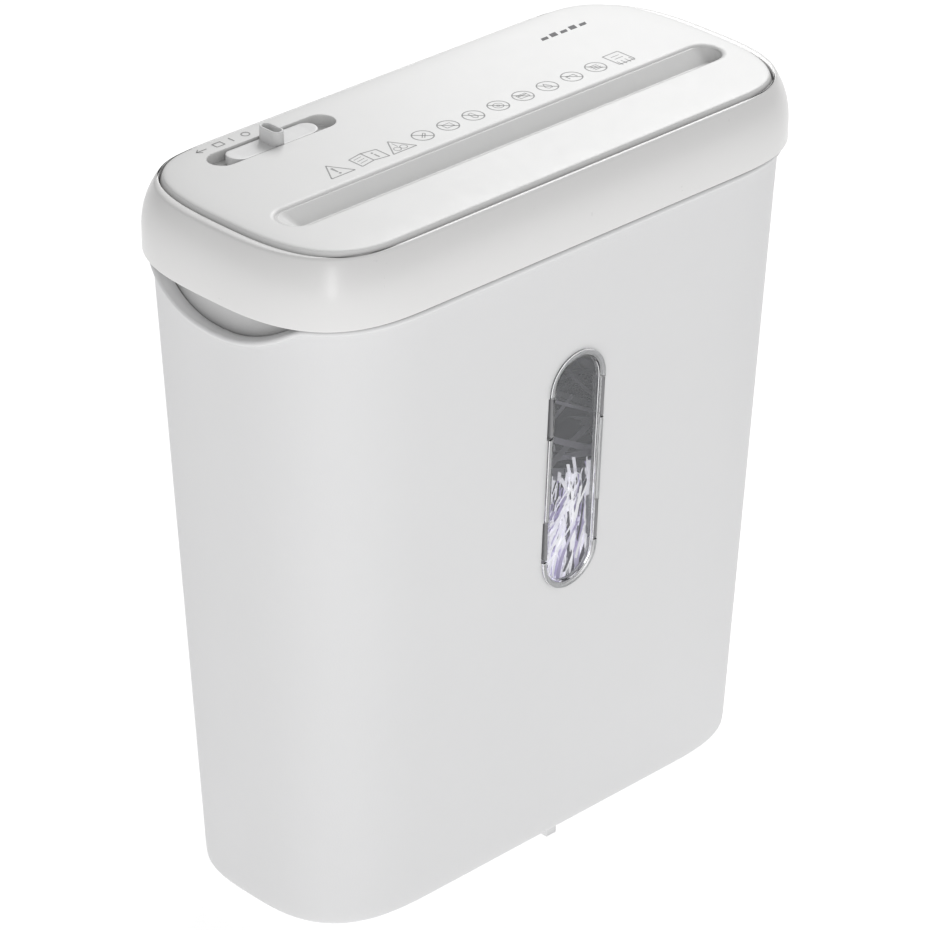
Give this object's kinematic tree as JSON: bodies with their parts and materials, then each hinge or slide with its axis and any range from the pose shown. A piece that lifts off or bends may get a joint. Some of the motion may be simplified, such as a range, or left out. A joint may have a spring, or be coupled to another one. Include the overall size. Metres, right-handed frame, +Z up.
{
  "type": "paper shredder",
  "caption": "Desk-side paper shredder: a motor-driven cutting head with a slide switch and a feed slot, resting on a tapered waste bin with a viewing window.",
  "frame": {"origin": "on the floor, under the centre of the object's bounding box", "axes": "+X to the right along the long side, seen from the front; +Y to the rear; +Z up. The front, with the window, faces -Y."},
  "size_m": [0.277, 0.1276, 0.3142],
  "materials": {
    "bin_plastic": "finely grained white",
    "lens_plastic": "clear, polished",
    "foot_rubber": "matte",
    "band_plastic": "semi-gloss white",
    "panel_plastic": "satin white",
    "slider_plastic": "semi-gloss white",
    "housing_plastic": "matte light grey",
    "black_plastic": "satin black",
    "nylon": "natural nylon",
    "steel": "turned, lightly oiled",
    "bronze": "sintered",
    "magnet": "dark ferrite",
    "circuit_laminate": "green solder mask"
  },
  "bodies": {
    "bin": {"bin_body": "bin_plastic", "window_lens": "lens_plastic", "foot_pad_1": "foot_rubber", "foot_pad_2": "foot_rubber", "foot_pad_3": "foot_rubber", "foot_pad_4": "foot_rubber"},
    "head": {"rim_band": "band_plastic", "top_panel": "panel_plastic", "lower_housing": "housing_plastic", "throat_guide_front": "housing_plastic", "throat_guide_rear": "housing_plastic", "cord_gland": "black_plastic", "interlock_switch": "black_plastic", "mode_switch_body": "black_plastic", "stripper_comb_front": "black_plastic", "stripper_comb_rear": "black_plastic", "motor_end_cap": "black_plastic", "capacitor": "black_plastic", "relay": "black_plastic", "paper_switch": "nylon", "terminal_block": "nylon", "housing_screw_1": "steel", "housing_screw_2": "steel", "housing_screw_3": "steel", "housing_screw_4": "steel", "side_plate_left": "steel", "side_plate_right": "steel", "tie_rod_1": "steel", "tie_rod_2": "steel", "tie_rod_3": "steel", "gear_1_axle": "steel", "gear_2_axle": "steel", "motor_can": "steel", "bush_front_left": "bronze", "bush_front_right": "bronze", "bush_rear_left": "bronze", "bush_rear_right": "bronze", "magnet_lower": "magnet", "magnet_upper": "magnet", "circuit_board": "circuit_laminate"},
    "slider": {"mode_slider": "slider_plastic"},
    "interlock": {"interlock_plunger": "black_plastic"},
    "rear_cutter": {"rear_roller": "steel", "sync_gear_rear": "steel", "final_gear": "nylon"},
    "front_cutter": {"front_roller": "steel", "sync_gear_front": "steel"},
    "second_gear": {"gear_2": "nylon"},
    "first_gear": {"gear_1": "nylon"},
    "armature": {"motor_armature": "steel", "motor_pinion": "bronze", "cooling_fan": "black_plastic"},
    "flag": {"paper_flag": "black_plastic"}
  },
  "joints": [
    {"name": "head_lift", "type": "slide", "parent": "bin", "child": "head", "axis": [0, 0, 1], "range_m": [0, 0.1]},
    {"name": "mode_select", "type": "slide", "parent": "head", "child": "slider", "axis": [1, 0, 0], "range_m": [-0.007, 0.007]},
    {"name": "interlock_press", "type": "slide", "parent": "head", "child": "interlock", "axis": [0, 0, 1], "range_m": [0, 0.0015], "stiffness_N_per_m": 150, "springref_m": -0.002},
    {"name": "paper_flag_swing", "type": "hinge", "parent": "head", "child": "flag", "pos_m": [0.0065, -0.0079, 0.295], "axis": [1, 0, 0], "range_deg": [0, 35], "stiffness_Nm_per_rad": 0.0005, "springref_deg": -28.65},
    {"name": "rear_cutter_spin", "type": "hinge", "parent": "head", "child": "rear_cutter", "pos_m": [0.006, -0.0034, 0.27], "axis": [1, 0, 0], "continuous": true},
    {"name": "front_cutter_spin", "type": "hinge", "parent": "head", "child": "front_cutter", "pos_m": [0.006, -0.025, 0.27], "axis": [1, 0, 0], "continuous": true},
    {"name": "second_gear_spin", "type": "hinge", "parent": "head", "child": "second_gear", "pos_m": [-0.117, 0.02035, 0.26158], "axis": [1, 0, 0], "continuous": true},
    {"name": "first_gear_spin", "type": "hinge", "parent": "head", "child": "first_gear", "pos_m": [-0.113, 0.0272, 0.27659], "axis": [1, 0, 0], "continuous": true},
    {"name": "motor_spin", "type": "hinge", "parent": "head", "child": "armature", "pos_m": [-0.078, 0.0296, 0.263], "axis": [1, 0, 0], "continuous": true}
  ],
  "couplings": [
    {"joint": "front_cutter_spin", "follows": "rear_cutter_spin", "ratio": -1},
    {"joint": "second_gear_spin", "follows": "rear_cutter_spin", "ratio": -3},
    {"joint": "first_gear_spin", "follows": "rear_cutter_spin", "ratio": 8},
    {"joint": "motor_spin", "follows": "rear_cutter_spin", "ratio": -22.667}
  ]
}
